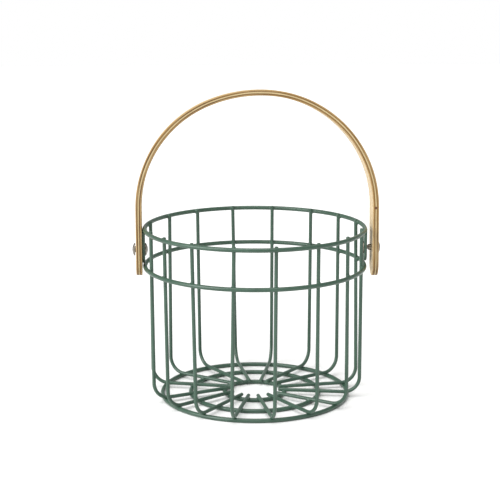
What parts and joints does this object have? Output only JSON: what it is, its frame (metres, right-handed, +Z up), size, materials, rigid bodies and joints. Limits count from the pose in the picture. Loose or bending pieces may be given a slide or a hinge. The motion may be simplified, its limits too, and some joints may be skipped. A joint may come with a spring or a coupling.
{
  "type": "wire basket",
  "caption": "Round open-wire produce basket of green coated steel with a bent plywood bail handle that swings on sleeve nuts at two side lugs.",
  "frame": {"origin": "on the basket's vertical axis, in the plane its base rings stand on", "axes": "+Z up, +X through the right-hand lug along the handle's pivot axis, -Y towards the front"},
  "size_m": [0.2445, 0.22, 0.3047],
  "materials": {
    "coated_wire": "satin powder coat",
    "coated_plate": "satin powder coat",
    "plywood": "clear matt lacquer, plies showing on the edges",
    "plated_steel": "nickel plated"
  },
  "bodies": {
    "basket": {"rim_ring": "coated_wire", "waist_ring": "coated_wire", "base_ring_outer": "coated_wire", "base_ring_middle": "coated_wire", "base_ring_inner": "coated_wire", "rib_01": "coated_wire", "rib_02": "coated_wire", "rib_03": "coated_wire", "rib_04": "coated_wire", "rib_05": "coated_wire", "rib_06": "coated_wire", "rib_07": "coated_wire", "rib_08": "coated_wire", "rib_09": "coated_wire", "rib_10": "coated_wire", "rib_11": "coated_wire", "rib_12": "coated_wire", "rib_13": "coated_wire", "rib_14": "coated_wire", "rib_15": "coated_wire", "rib_16": "coated_wire", "lug_left": "coated_plate", "lug_right": "coated_plate", "pivot_barrel_left": "plated_steel", "pivot_barrel_right": "plated_steel", "pivot_screw_left": "plated_steel", "pivot_screw_right": "plated_steel"},
    "handle": {"handle": "plywood"}
  },
  "joints": [
    {"name": "handle_swing", "type": "hinge", "parent": "basket", "child": "handle", "pos_m": [0, 0, 0.1489], "axis": [1, 0, 0], "range_deg": [-121, 131]}
  ]
}
